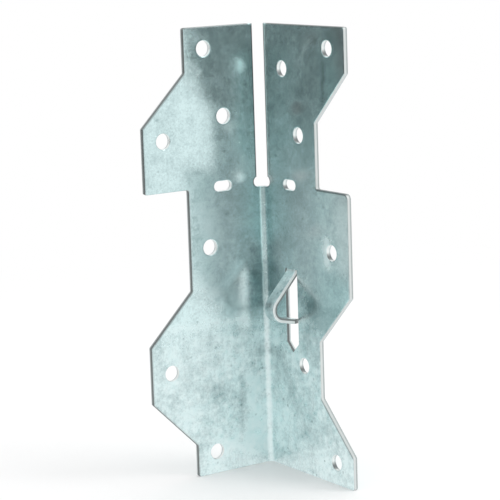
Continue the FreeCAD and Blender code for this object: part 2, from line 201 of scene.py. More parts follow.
class AngleStage(bpy.types.PropertyGroup):
    """Camera, floor and light."""

    camera_place: bpy.props.FloatVectorProperty(
        name="Camera place", description="Where the camera stands", size=3, subtype="TRANSLATION",
        unit="LENGTH", default=(-279.08 * MM, -402.96 * MM, 142.55 * MM))
    azimuth: turn("Azimuth", "Bearing of the camera round the angle", -34.21)
    elevation: turn("Elevation", "Height of the camera above the horizon", 10.02)
    roll: turn("Roll", "Lean of the camera", -1.90)
    lens: bpy.props.FloatProperty(
        name="Lens", description="Focal length in millimetres", default=138.9, subtype="DISTANCE_CAMERA")
    floor_colour: colour("Floor", "Colour of the floor", (0.96, 0.96, 0.96))
    floor_radius: length("Floor radius", "Radius of the floor", 4000.0)
    sky: share("Sky", "Level of the light that comes from all round", 1.0)
    key_power: bpy.props.FloatProperty(
        name="Key power", description="Power of the soft lamp", default=1.4, subtype="POWER", unit="POWER")
    key_size: length("Key size", "Side of the soft lamp", 420.0)
    cloth_low: colour("Cloth hem", "Colour of the dark cloth at the floor", (0.60, 0.60, 0.60))
    cloth_high: colour("Cloth", "Colour of the dark cloth higher up", (0.05, 0.05, 0.05))
    cloth_thin: colour("Thin cloth", "Colour of the dark cloth where it thins out", (0.82, 0.82, 0.82))
    cloth_fade: length("Cloth fade", "Height over which the cloth's hem turns dark", 80.0)
    cloth_distance: length("Cloth distance", "Distance of the dark cloth from the angle", 165.0)
    cloth_height: length("Cloth height", "Height of the dark cloth", 120.0)


def fold_half(sheet):
    """Half of the flat width that the fold takes up: a quarter turn at the middle of the sheet, halved."""
    return (sheet.bend_radius + sheet.thickness / 2) * math.pi / 4


def blank_across(sheet, side, gauge):
    """Place across the flat blank of a distance from the heel, on the left or the right leg."""
    return side * (fold_half(sheet) + gauge - sheet.thickness - sheet.bend_radius)


def levels(sheet):
    """Heights of the outline's corners from the bottom up; the step lies at the sixth of them."""
    rises = [sheet.bottom_straight, sheet.chamfer_rise, sheet.lower_straight, sheet.chamfer_rise,
             sheet.waist_straight, sheet.ear_straight, sheet.chamfer_rise]
    return np.concatenate(([0.0], np.cumsum(rises), [sheet.height]))


def bend_level(sheet):
    """Height of the step and of the line of the site bend."""
    return levels(sheet)[5]


def zigzag(sheet, side, starts_wide):
    """Corners of one leg's edge, from the bottom up, on the flat blank."""
    heights = levels(sheet)[[0, 1, 2, 3, 4, 5, 5, 6, 7, 8]]
    swapped = np.array([0, 0, 1, 1, 0, 0, 1, 1, 0, 0], bool)
    widths = np.where(swapped != starts_wide, sheet.leg_wide, sheet.leg_narrow)
    return np.column_stack((blank_across(sheet, side, widths), heights))


def arc(centre, radius, first, last, count):
    """Points on an arc about a centre, from one angle to another."""
    angles = np.linspace(first, last, count)
    return np.asarray(centre) + radius * np.column_stack((np.cos(angles), np.sin(angles)))


def rounded(corners, radii):
    """A closed outline whose corners are arcs: each arc touches both sides of its corner."""
    pieces = []
    neighbours = zip(np.roll(corners, 1, 0), corners, np.roll(corners, -1, 0), radii)
    for before, corner, after, radius in neighbours:
        if radius == 0.0:
            pieces.append(corner[None])
            continue
        back = (before - corner) / np.linalg.norm(before - corner)
        ahead = (after - corner) / np.linalg.norm(after - corner)
        half = math.acos(back @ ahead) / 2
        middle = (back + ahead) / np.linalg.norm(back + ahead)
        centre = corner + middle * radius / math.sin(half)
        first, last = (corner + way * radius / math.tan(half) - centre for way in (back, ahead))
        start = math.atan2(first[1], first[0])
        sweep = (math.atan2(last[1], last[0]) - start + math.pi) % (2 * math.pi) - math.pi
        pieces.append(arc(centre, radius, start, start + sweep, CORNER_POINTS))
    return np.vstack(pieces)


def spaced(path, step):
    """A closed path with points added so that no two neighbours are more than a step apart."""
    runs = np.roll(path, -1, 0) - path
    counts = np.maximum(np.ceil(np.linalg.norm(runs, axis=1) / step), 1).astype(int)
    run = np.repeat(np.arange(len(path)), counts)
    place = np.arange(counts.sum()) - np.repeat(np.cumsum(counts) - counts, counts)
    return path[run] + runs[run] * (place / counts[run])[:, None]


def inward(path):
    """Vectors into the metal, on the left of a closed path, long enough to keep its sides parallel."""
    runs = np.roll(path, -1, 0) - path
    runs /= np.linalg.norm(runs, axis=1)[:, None]
    ahead = np.column_stack((-runs[:, 1], runs[:, 0]))
    behind = np.roll(ahead, 1, 0)
    return (ahead + behind) / (1 + np.sum(ahead * behind, axis=1))[:, None]


def fold_columns(sheet):
    """Places across the fold at which the mesh has a column of points."""
    return np.linspace(-fold_half(sheet), fold_half(sheet), FOLD_COLUMNS)


def outer_outline(sheet):
    """The blank's outer edge, counterclockwise: bottom, right leg, open slot with its keyhole, left leg."""
    left = zigzag(sheet, LEFT, starts_wide=False)[::-1]
    right = zigzag(sheet, RIGHT, starts_wide=True)
    across = fold_columns(sheet)
    step_corner = np.array([blank_across(sheet, RIGHT, sheet.leg_wide), bend_level(sheet)])
    is_step = np.all(np.isclose(right, step_corner), axis=1)
    right_radii = np.where(is_step, sheet.step_round, sheet.corner_round)
    bottom = np.column_stack((across, np.zeros(FOLD_COLUMNS)))
    radius = sheet.keyhole_width / 2
    lift = math.acos(sheet.slot_margin / radius)
    half = fold_half(sheet)
    level = bend_level(sheet)
    slot_top = np.array([[half + sheet.slot_margin, sheet.height]])
    right_keyhole = arc((half, level), radius, lift, -math.pi / 2, KEYHOLE_POINTS)
    fold_top = np.column_stack((across[-2:0:-1], np.full(FOLD_COLUMNS - 2, level - radius)))
    left_keyhole = arc((-half, level), radius, 1.5 * math.pi, math.pi - lift, KEYHOLE_POINTS)
    slot = np.vstack((slot_top, right_keyhole, fold_top, left_keyhole, slot_top * (LEFT, 1)))
    corners = np.vstack((bottom, right, slot, left))
    radii = np.concatenate((np.zeros(len(bottom)), right_radii, np.zeros(len(slot)),
                            np.full(len(left), sheet.corner_round)))
    return spaced(rounded(corners, radii), MESH_STEP)


def nail_places(sheet, nails):
    """Centres of the nail holes on the blank: outer ones by their edge, inner ones by the heel."""
    low, high = levels(sheet)[2:4]
    level = bend_level(sheet)
    rows = [nails.bottom_end, (low + high) / 2, level - nails.below_bend, level + nails.above_bend,
            sheet.height - nails.top_end]
    left_wide = np.array([0, 1, 0, 1, 0], bool)
    left = np.where(left_wide, sheet.leg_wide, sheet.leg_narrow) - nails.left_edge
    right = np.where(left_wide, sheet.leg_narrow, sheet.leg_wide) - nails.right_edge
    return np.vstack((
        np.column_stack((blank_across(sheet, LEFT, left), rows)),
        np.column_stack((blank_across(sheet, RIGHT, right), rows)),
        [blank_across(sheet, LEFT, nails.left_inner_gauge), level + nails.left_inner_rise],
        [blank_across(sheet, RIGHT, nails.right_inner_gauge), sheet.height - nails.right_inner_drop]))


def obround(centre, reach, radius):
    """A slot with round ends, clockwise: two half circles a little way apart."""
    right = arc(np.add(centre, (reach, 0)), radius, math.pi / 2, -math.pi / 2, HOLE_POINTS // 2)
    left = arc(np.subtract(centre, (reach, 0)), radius, -math.pi / 2, -1.5 * math.pi, HOLE_POINTS // 2)
    return np.vstack((right, left))


def holes(sheet, nails):
    """Every round hole and obround slot of the blank, clockwise."""
    ring = arc((0, 0), nails.diameter / 2, 2 * math.pi, 0, HOLE_POINTS + 1)[:-1]
    found = [centre + ring for centre in nail_places(sheet, nails)]
    for side, gauge in ((LEFT, sheet.left_mark_gauge), (RIGHT, sheet.right_mark_gauge)):
        centre = (blank_across(sheet, side, gauge), bend_level(sheet))
        reach = (sheet.mark_length - sheet.mark_width) / 2
        found.append(spaced(obround(centre, reach, sheet.mark_width / 2), MESH_STEP))
    return found


def prong_runs(sheet, prong):
    """The prong's middle line as runs of a length and the turn at their two ends: root, slant, loop, tail."""
    middle = sheet.thickness / 2
    root, loop = prong.root_radius + middle, prong.loop_radius + middle
    root_out = middle + root * (1 - math.cos(prong.slant))
    slant_out = prong.reach - prong.loop_radius + loop * math.cos(prong.slant)
    slant = (slant_out - root_out) / math.sin(prong.slant)
    back = prong.fall - math.pi / 2
    return [(root * prong.slant, 0.0, prong.slant), (slant, prong.slant, prong.slant),
            (loop * (prong.slant - back), prong.slant, back), (prong.tail, back, back)]


def prong_length(sheet, prong):
    """Length of the prong's strip along its bends."""
    return sum(run[0] for run in prong_runs(sheet, prong))


def prong_frame(sheet, prong):
    """Middle of the prong on the blank, the height of its root and the height of its tip if laid out flat."""
    root = bend_level(sheet) - prong.root_drop
    return blank_across(sheet, RIGHT, prong.gauge), root, root - prong_length(sheet, prong)


def window_outline(sheet, prong):
    """The prong's window, clockwise, with the root of the strip as a row of points in its top edge."""
    middle, root, strip_tip = prong_frame(sheet, prong)
    half = prong.width / 2
    wide = half + prong.slit
    tip = root - (root - strip_tip) / prong.stretch
    shoulder = tip + prong.point
    row = np.linspace(-half, half, PRONG_COLUMNS + 1)
    top = np.column_stack((row, np.full(len(row), root)))
    rest = [(wide, root), (wide, shoulder), (0.0, tip), (-wide, shoulder), (-wide, root)]
    return spaced(np.vstack((top, rest)) + (middle, 0.0), MESH_STEP)


def strip_sides(sheet, prong):
    """Half widths and heights of the strip, row by row from below its root to just above its tip."""
    root, tip = prong_frame(sheet, prong)[1:]
    blunt = prong.point / 4
    rows = np.arange(1, int((root - tip - blunt) / PRONG_STEP)) * PRONG_STEP
    shoulder = root - tip - prong.point
    rows = np.unique(np.concatenate((rows[np.abs(rows - shoulder) > PRONG_STEP / 2], [shoulder])))
    widths = prong.width / 2 * np.clip((root - tip - rows) / prong.point, 0, 1)
    return widths, root - rows


# Share of the torn band's lean that it takes where it begins.
EARLY_LEAN = 0.7


def edge_section(sheet, edges):
    """The pierced edge's section as distances into the sheet and depths from the inner face.

    It has a flat lead-in, a rolled quarter ellipse, the upright burnished band and the torn band, which
    takes most of its lean where it begins."""
    angles = np.linspace(0, math.pi / 2, ROLL_POINTS)
    rolled = np.column_stack((edges.roll_width * (1 - np.sin(angles)),
                              edges.roll_depth * (1 - np.cos(angles))))
    tear = edges.burnish_depth + edges.fracture_lean
    sheared = [(0, edges.burnish_depth), (edges.fracture_lean * EARLY_LEAN, tear),
               (edges.fracture_lean, sheet.thickness), (edges.lead_in, sheet.thickness)]
    return np.vstack(([edges.lead_in, 0.0], rolled, sheared))


def fold_map(sheet, flat, depth):
    """Places of points of the folded sheet.

    The blank's middle is wrapped round a quarter circle, about an axis one outer radius from both outer
    faces, and its two legs run straight on from there."""
    half = fold_half(sheet)
    outer = sheet.thickness + sheet.bend_radius
    radius = sheet.bend_radius + depth
    angle = np.clip((flat[:, 0] + half) / (2 * half), 0, 1) * math.pi / 2
    x = radius * np.sin(angle) - outer + np.minimum(flat[:, 0] + half, 0)
    y = radius * np.cos(angle) - outer - np.maximum(flat[:, 0] - half, 0)
    return np.column_stack((x, y, flat[:, 1]))


def prong_map(sheet, prong, flat, depth):
    """Places of points of the bent strip.

    Its middle line heads down and turns by each run's angles, each run adding its own arc or straight
    stretch, and the sheet stands to both sides of that line."""
    root = prong_frame(sheet, prong)[1]
    along = root - flat[:, 1]
    out = np.full(len(flat), sheet.thickness / 2)
    up = np.full(len(flat), root)
    heading = np.zeros(len(flat))
    start = 0.0
    for run, first, last in prong_runs(sheet, prong):
        gone = np.clip(along - start, 0, None if start + run >= along.max() else run)
        bend = (last - first) / run
        angle = first + bend * gone
        if bend:
            out += (math.cos(first) - np.cos(angle)) / bend
            up -= (np.sin(angle) - math.sin(first)) / bend
        else:
            out += math.sin(first) * gone
            up -= math.cos(first) * gone
        heading = np.where(along > start, angle, heading)
        start += run
    aside = sheet.thickness / 2 - depth
    half = fold_half(sheet)
    y = half - flat[:, 0] - sheet.thickness - sheet.bend_radius
    return np.column_stack((-(out + aside * np.cos(heading)), y, up + aside * np.sin(heading)))


def inside(points, starts, ends):
    """Which points have an odd number of edges to their right."""
    u, z = points[:, :1], points[:, 1:]
    spans = (starts[:, 1] > z) != (ends[:, 1] > z)
    rise = np.where(ends[:, 1] == starts[:, 1], 1.0, ends[:, 1] - starts[:, 1])
    cross = starts[:, 0] + (z - starts[:, 1]) * (ends[:, 0] - starts[:, 0]) / rise
    return np.count_nonzero(spans & (u < cross), axis=1) % 2 == 1


def field_points(sheet, loops):
    """Points inside the blank: staggered rows over the legs, and closer columns over the fold."""
    half = fold_half(sheet)
    rows = np.arange(0.0, sheet.height, MESH_STEP * math.sqrt(0.75))
    reach = np.arange(-2 * sheet.leg_wide, 2 * sheet.leg_wide, MESH_STEP)
    u, z = np.meshgrid(reach, rows)
    u = u + MESH_STEP / 2 * (np.arange(len(rows)) % 2)[:, None]
    legs = np.column_stack((u.ravel(), z.ravel()))
    legs = legs[np.abs(legs[:, 0]) > half + MESH_STEP / 2]
    u, z = np.meshgrid(fold_columns(sheet), rows)
    points = np.vstack((legs, np.column_stack((u.ravel(), z.ravel()))))
    starts = np.vstack(loops)
    ends = np.vstack([np.roll(loop, -1, 0) for loop in loops])
    points = points[inside(points, starts, ends)]
    gaps = np.full(len(points), np.inf)
    for loop in loops:
        apart = points[:, None] - loop[None]
        gaps = np.minimum(gaps, np.sqrt(np.min(np.sum(apart ** 2, axis=2), axis=1)))
    return points[gaps > MESH_STEP]


def triangulate(loops, points):
    """Triangles of the blank between its outer edge and its holes, counterclockwise."""
    flat = np.vstack((*loops, points))
    counts = [len(loop) for loop in loops]
    starts = np.cumsum(counts) - counts
    edges = np.vstack([np.column_stack((np.arange(n), np.roll(np.arange(n), -1))) + s
                       for n, s in zip(counts, starts)])
    found = delaunay_2d_cdt((flat / MM).tolist(), edges.tolist(), [], 0, WELD_MM)
    if len(found[0]) != len(flat):
        raise RuntimeError("the blank's outlines touch each other")
    triangles = np.array(found[2])
    middles = flat[triangles].mean(axis=1)
    return triangles[inside(middles, flat[edges[:, 0]], flat[edges[:, 1]])]


# The kinds of pierced edge, and the way that the side of a hole with painted shade looks: to the right and
# up.
OUTLINE, HOLE, WINDOW, STRIP, TIP = range(5)
SHADED_HOLE_SIDE = (0.75, 0.66)


def edge_shade_bands(sheet, kind, flat, out):
    """Dark steel on a pierced edge, as shares of its rolled, burnished and torn band, mostly painted shade.

    Each share grows in a straight line with the way that the edge looks, from 0 to 1. An outer edge has most
    where it looks up or to the left, and a hole low on its left or where it looks to the fold. The window has
    it on its burnished band, the prong's strip on its torn one, and the prong's tip on both; all but the
    darkening of outer edges that look up is painted shade."""
    across, up = out.T
    up = up * (np.abs(flat[:, 0]) > 2 * fold_half(sheet))
    to_fold = -across * np.sign(flat[:, 0])
    roll = np.clip(np.maximum.reduce((0.8 * up, to_fold, -0.3 * across)), 0, 1)
    burnish = np.clip(0.3 - 0.9 * across + 1.1 * np.maximum(up, 0), 0.35, 1)
    tear = 0.5 - 0.8 * across * np.maximum(-up, 0)
    hole = np.clip(np.maximum(5 * out @ SHADED_HOLE_SIDE - 4, 1.6 * to_fold), 0, 1)
    # Each choice is in the order of the kinds: outline, hole, window, strip and tip.
    return (np.where(kind == OUTLINE, roll, 0.0),
            np.choose(kind, (burnish, hole, 1.0, 0.0, 1.0)),
            np.choose(kind, (tear, hole, 0.0, 0.8, 1.0)))


def sheet_mesh(sheet, nails, prong, edges):
    """The whole angle as arrays: places, triangles, quads and the values of each vertex.

    Those are its flat place, its depth from the inner face, whether it is on the strip, and its shares of
    bare steel, torn steel and dark steel that is mostly painted shade.

    Both faces are the same triangles of the flat blank, drawn in from every pierced edge, and the section of
    the pierced edge is carried along each edge to join them; then the fold and the prong are bent."""
    loops = [outer_outline(sheet), *holes(sheet, nails), window_outline(sheet, prong)]
    field = field_points(sheet, loops)
    blank_triangles = triangulate(loops, field)
    blank_points = np.vstack((*loops, field))
    counts = [len(loop) for loop in loops]
    window_start = sum(counts[:-1])

    # The strip's two sides and its tip follow the blank's points.
    middle, _, tip = prong_frame(sheet, prong)
    widths, rows = strip_sides(sheet, prong)
    root_ids = window_start + np.arange(PRONG_COLUMNS + 1)
    left_ids = len(blank_points) + np.arange(len(rows))
    tip_id = left_ids[-1] + 1
    right_ids = tip_id + 1 + np.arange(len(rows))
    left_side = np.column_stack((middle - widths, rows))
    right_side = np.column_stack((middle + widths, rows))
    flat = np.vstack((blank_points, left_side, [(middle, tip)], right_side))

    # Every pierced edge is a ring of points; the last one runs round the strip and its window.
    rings = [start + np.arange(n) for n, start in zip(counts[:-1], np.cumsum(counts[:-1]) - counts[:-1])]
    rings.append(np.concatenate((
        root_ids[:1], left_ids, [tip_id], right_ids[::-1],
        window_start + np.arange(PRONG_COLUMNS, counts[-1]))))
    rim = np.concatenate(rings)
    following = np.concatenate([np.roll(ring, -1) for ring in rings])
    pull = np.zeros_like(flat)
    pull[rim] = np.vstack([inward(flat[ring]) for ring in rings])

    # The strip's face is a lattice between its two sides, closed by a fan at its tip.
    face = flat + pull * edges.lead_in
    parts = np.linspace(0, 1, PRONG_COLUMNS + 1)[1:-1, None, None]
    inner_strip = face[left_ids] * (1 - parts) + face[right_ids] * parts
    strip_ids = len(flat) + np.arange(inner_strip.shape[0] * len(rows)).reshape(-1, len(rows))
    face = np.vstack((face, inner_strip.reshape(-1, 2)))
    lattice = np.column_stack((root_ids, np.vstack((left_ids, strip_ids, right_ids))))
    strip_quads = np.stack((lattice[:-1, :-1], lattice[:-1, 1:], lattice[1:, 1:], lattice[1:, :-1]), -1)
    strip_quads = strip_quads.reshape(-1, 4)
    tip_fan = np.column_stack((lattice[:-1, -1], np.full(PRONG_COLUMNS, tip_id), lattice[1:, -1]))
    face_triangles = np.vstack((blank_triangles, tip_fan))
    on_strip = np.arange(len(face)) >= len(blank_points)

    # The inner face, the outer face and the rows of the pierced edges between them are bent together.
    total = len(face)
    section = edge_section(sheet, edges)
    band_rows = len(section) - 2
    band_flat = flat[rim] + pull[rim] * section[1:-1, :1, None]
    all_flat = np.vstack((face, face, band_flat.reshape(-1, 2)))
    all_depth = np.concatenate((
        np.zeros(total), np.full(total, sheet.thickness), np.repeat(section[1:-1, 1], len(rim))))
    all_on_strip = np.concatenate((on_strip, on_strip, np.tile(on_strip[rim], band_rows)))
    places = np.where(all_on_strip[:, None], prong_map(sheet, prong, all_flat, all_depth),
                      fold_map(sheet, all_flat, all_depth))

    # Quads join each row to the next one, all round every ring.
    order = np.full(total, -1)
    order[rim] = np.arange(len(rim))
    between = 2 * total + np.arange(band_rows * len(rim)).reshape(-1, len(rim))
    here = np.vstack((rim, between, rim + total))
    ahead = np.vstack((following, between[:, order[following]], following + total))
    band_quads = np.stack((here[:-1], here[1:], ahead[1:], ahead[:-1]), -1).reshape(-1, 4)

    # On those rows bare steel begins halfway round the rolled lip, and dark steel, mostly painted shade, lies
    # by the kind of edge.
    out = -pull[rim] / np.linalg.norm(pull[rim], axis=1)[:, None]
    kind = np.select(
        [rim < counts[0], rim < window_start, rim < len(blank_points), flat[rim, 1] < tip + prong.point],
        [OUTLINE, HOLE, WINDOW, TIP], STRIP)
    row = np.arange(1, band_rows + 1)[:, None]
    half_roll = ROLL_POINTS // 2
    is_torn = row > band_rows - TORN_ROWS
    on_roll, on_burnish, on_tear = edge_shade_bands(sheet, kind, flat[rim], out)
    shade_share = np.where(row <= half_roll, on_roll, np.where(is_torn, on_tear, on_burnish))
    bare = np.clip(row / half_roll - 1, 0, 1)
    cut, torn, painted_edge_shade = (np.concatenate((np.zeros(2 * total), band.ravel()))
                       for band in np.broadcast_arrays(bare, is_torn, shade_share))
    return SimpleNamespace(
        places=places, triangles=np.vstack((face_triangles, face_triangles[:, ::-1] + total)),
        quads=np.vstack((strip_quads, strip_quads[:, ::-1] + total, band_quads)),
        flat=all_flat, depth=all_depth, on_strip=all_on_strip, cut=cut, torn=torn, painted_edge_shade=painted_edge_shade)


def new_mesh(name, places, triangles, quads):
    """A mesh of triangles and quads, smooth but for its sharp corners."""
    corners = np.concatenate((triangles.ravel(), quads.ravel()))
    starts = np.concatenate((np.arange(len(triangles)) * 3, 3 * len(triangles) + np.arange(len(quads)) * 4))
    mesh = bpy.data.meshes.new(name)
    mesh.vertices.add(len(places))
    mesh.vertices.foreach_set("co", places.astype(np.float32).ravel())
    mesh.loops.add(len(corners))
    mesh.loops.foreach_set("vertex_index", corners.astype(np.int32))
    mesh.polygons.add(len(starts))
    mesh.polygons.foreach_set("loop_start", starts.astype(np.int32))
    mesh.update(calc_edges=True)
    mesh.validate()
    mesh.shade_smooth()
    mesh.set_sharp_from_angle(angle=SHARP_ANGLE)
    return mesh


def add_attribute(mesh, name, values):
    """A value for each vertex, which the finish reads."""
    layer = mesh.attributes.new(name, "FLOAT", "POINT")
    layer.data.foreach_set("value", values.astype(np.float32))


def add_node(tree, kind, inputs=None, **settings):
    """A node with its settings, and a value or a link for each input named by name or number."""
    node = tree.nodes.new(kind)
    for name, value in settings.items():
        setattr(node, name, value)
    for name, value in (inputs or {}).items():
        if isinstance(value, bpy.types.NodeSocket):
            tree.links.new(value, node.inputs[name])
        else:
            node.inputs[name].default_value = value
    return node


def calculate(tree, operation, *values, clamp=False):
    """The output of a math node."""
    node = add_node(tree, "ShaderNodeMath", dict(enumerate(values)), operation=operation, use_clamp=clamp)
    return node.outputs[0]


def attribute(tree, name):
    """The output that reads one of the vertices' own values."""
    return add_node(tree, "ShaderNodeAttribute", attribute_name=name).outputs["Fac"]


def blend_colours(tree, factor, first, second):
    """The output of a colour mix."""
    return add_node(tree, "ShaderNodeMix", {0: factor, 6: first, 7: second}, data_type="RGBA").outputs[2]


def noise(tree, vector, size, detail, roughness):
    """A cloud pattern whose spots are about a given size."""
    return add_node(tree, "ShaderNodeTexNoise", {
        "Vector": vector, "Scale": 1.0 / size, "Detail": detail, "Roughness": roughness}).outputs[0]


def solid(rgb):
    """A colour with full alpha."""
    return (*rgb, 1.0)


# The part of a speck's radius in which it is full.
SPECK_CORE = 0.4


def specks(tree, vector, spacing, reach, rarity):
    """1 inside scattered dots: near each of the random points whose own random number is above the rarity."""
    points = add_node(tree, "ShaderNodeTexVoronoi", {"Vector": vector, "Scale": 1.0 / spacing}, feature="F1")
    near = add_node(tree, "ShaderNodeMapRange", {
        "Value": points.outputs["Distance"], "From Min": SPECK_CORE * reach, "From Max": reach,
        "To Min": 1.0, "To Max": 0.0}).outputs[0]
    chance = add_node(tree, "ShaderNodeSeparateColor", {0: points.outputs["Color"]}).outputs[0]
    chosen = calculate(tree, "GREATER_THAN", chance, rarity)
    return calculate(tree, "MULTIPLY", near, chosen)


# Detail and roughness of each cloud pattern.
MOTTLE_CLOUD = (5.0, 0.85)
BLOTCH_CLOUD = (3.0, 0.6)
GRAIN_CLOUD = (2.0, 0.6)
STREAK_CLOUD = (4.0, 0.55)
WANDER_DETAIL = 3.0
# How far each pattern moves the zinc's tone.
CRYSTAL_TONE = 0.06
MOTTLE_TONE = 1.2
BLOTCH_TONE = 0.35
STREAK_TONE = 0.15
SPECK_TONE = -0.3
GRAIN_TONE = 0.7
# Strength of all of them but the grain on clean zinc, and how much weathering adds to it.
CLEAN_STRENGTH = 1.1
WEATHERED_STRENGTH = 0.5
# Crystals and specks wander by a share of a crystal. Streaks are a little wider than the grain, and a
# squeezed height draws them out up the sheet.
WANDER = 0.4
STREAK_WIDTH = 1.4
STREAK_SQUEEZE = 0.05
# A speck's radius as a share of the spacing, and the share of specks that is left out.
SPECK_REACH = 0.19
SPECK_RARITY = 0.75
# How sharply the blotches divide the chalky bloom.
BLOOM_CONTRAST = 1.6
# What mottling, bloom and the pierced edges add to the roughness, to the metal's share and to the relief.
MOTTLE_ROUGHNESS = 0.22
BLOOM_ROUGHNESS = 0.4
CUT_ROUGHNESS = 0.3
TORN_ROUGHNESS = 0.15
BLOOM_METAL = -0.5
CUT_METAL = -0.6
GRAIN_RELIEF = 0.2


def zinc_material(zinc):
    """Galvanised sheet, from dull zinc to clean zinc that is pale or teal by its tint.

    Crystals, cloudy mottling, rolling streaks, fine grain and specks move its tone, whose values per vertex
    also hold painted highlights, reflections and shade. A chalky bloom lies in blotches where it is
    weathered, and the pierced edges are bare steel or dark steel that is mostly painted shade."""
    material = bpy.data.materials.new("galvanised_zinc")
    material.use_nodes = True
    tree = material.node_tree
    tree.nodes.clear()
    place = add_node(tree, "ShaderNodeTexCoord").outputs["Object"]
    wander = add_node(tree, "ShaderNodeTexNoise", {
        "Vector": place, "Scale": 1 / zinc.mottle_size, "Detail": WANDER_DETAIL}).outputs["Color"]
    wander_size = (WANDER * zinc.spangle_size,) * 3
    shifted = add_node(tree, "ShaderNodeVectorMath", {
        0: wander, 1: wander_size, 2: place}, operation="MULTIPLY_ADD").outputs[0]
    crystals = add_node(tree, "ShaderNodeTexVoronoi", {
        "Vector": shifted, "Scale": 1 / zinc.spangle_size}, feature="F1")
    crystal = add_node(tree, "ShaderNodeSeparateColor", {0: crystals.outputs["Color"]}).outputs[0]
    mottle = noise(tree, place, zinc.mottle_size, *MOTTLE_CLOUD)
    blotch = noise(tree, place, zinc.blotch_size, *BLOTCH_CLOUD)
    grain = noise(tree, place, zinc.grain_size, *GRAIN_CLOUD)
    squeezed = add_node(tree, "ShaderNodeMapping", {
        "Vector": place, "Scale": (1.0, 1.0, STREAK_SQUEEZE)}).outputs[0]
    streak = noise(tree, squeezed, STREAK_WIDTH * zinc.grain_size, *STREAK_CLOUD)
    dots = specks(tree, shifted, zinc.speck_size, SPECK_REACH, SPECK_RARITY)

    weathered = attribute(tree, "weathering")
    strength = calculate(tree, "MULTIPLY_ADD", weathered, WEATHERED_STRENGTH, CLEAN_STRENGTH)
    uneven = calculate(tree, "MULTIPLY", dots, SPECK_TONE)
    for pattern, weight in ((crystal, CRYSTAL_TONE), (mottle, MOTTLE_TONE), (blotch, BLOTCH_TONE),
                            (streak, STREAK_TONE)):
        offset = calculate(tree, "SUBTRACT", pattern, 0.5)
        uneven = calculate(tree, "MULTIPLY_ADD", offset, weight, uneven)
    # The tone per vertex adds painted highlights, reflections and shade to these patterns.
    tone = calculate(tree, "MULTIPLY_ADD", uneven, strength, attribute(tree, "zinc_tone_with_painted_light"))
    fine = calculate(tree, "SUBTRACT", grain, 0.5)
    tone = calculate(tree, "MULTIPLY_ADD", fine, GRAIN_TONE, tone, clamp=True)
    bloom = calculate(tree, "SUBTRACT", blotch, 0.5)
    bloom = calculate(tree, "MULTIPLY_ADD", bloom, BLOOM_CONTRAST, 0.5)
    bloom = calculate(tree, "MULTIPLY", bloom, weathered, clamp=True)
    clean = blend_colours(tree, attribute(tree, "tint"), solid(zinc.pale), solid(zinc.teal))
    bright = blend_colours(tree, bloom, clean, solid(zinc.chalk))
    finish = blend_colours(tree, tone, solid(zinc.dull), bright)

    cut = attribute(tree, "cut")
    torn = attribute(tree, "torn")
    steel = blend_colours(tree, torn, solid(zinc.burnish), solid(zinc.fracture))
    edge = blend_colours(tree, cut, finish, steel)
    # Dark steel over the pierced edges, mostly painted shade.
    base = blend_colours(tree, attribute(tree, "painted_edge_shade"), edge, solid(zinc.painted_edge_shade))

    rough = calculate(tree, "MULTIPLY_ADD", mottle, MOTTLE_ROUGHNESS, zinc.roughness - MOTTLE_ROUGHNESS / 2)
    rough = calculate(tree, "MULTIPLY_ADD", bloom, BLOOM_ROUGHNESS, rough)
    rough = calculate(tree, "MULTIPLY_ADD", cut, CUT_ROUGHNESS, rough)
    rough = calculate(tree, "MULTIPLY_ADD", torn, TORN_ROUGHNESS, rough)
    metallic = calculate(tree, "MULTIPLY_ADD", bloom, BLOOM_METAL, zinc.metal)
    metallic = calculate(tree, "MULTIPLY_ADD", cut, CUT_METAL, metallic)
    height = calculate(tree, "MULTIPLY_ADD", grain, GRAIN_RELIEF, mottle)
    bump = add_node(tree, "ShaderNodeBump", {"Strength": 1.0, "Distance": zinc.relief, "Height": height})
    surface = add_node(tree, "ShaderNodeBsdfPrincipled", {
        "Base Color": base, "Metallic": metallic, "Roughness": rough, "Normal": bump.outputs[0]})
    add_node(tree, "ShaderNodeOutputMaterial", {"Surface": surface.outputs[0]})
    return material


def smooth_step(values, first, last):
    """0 before the first value, 1 after the last one and a smooth rise in between."""
    share_gone = np.clip((values - first) / (last - first), 0, 1)
    return share_gone ** 2 * (3 - 2 * share_gone)
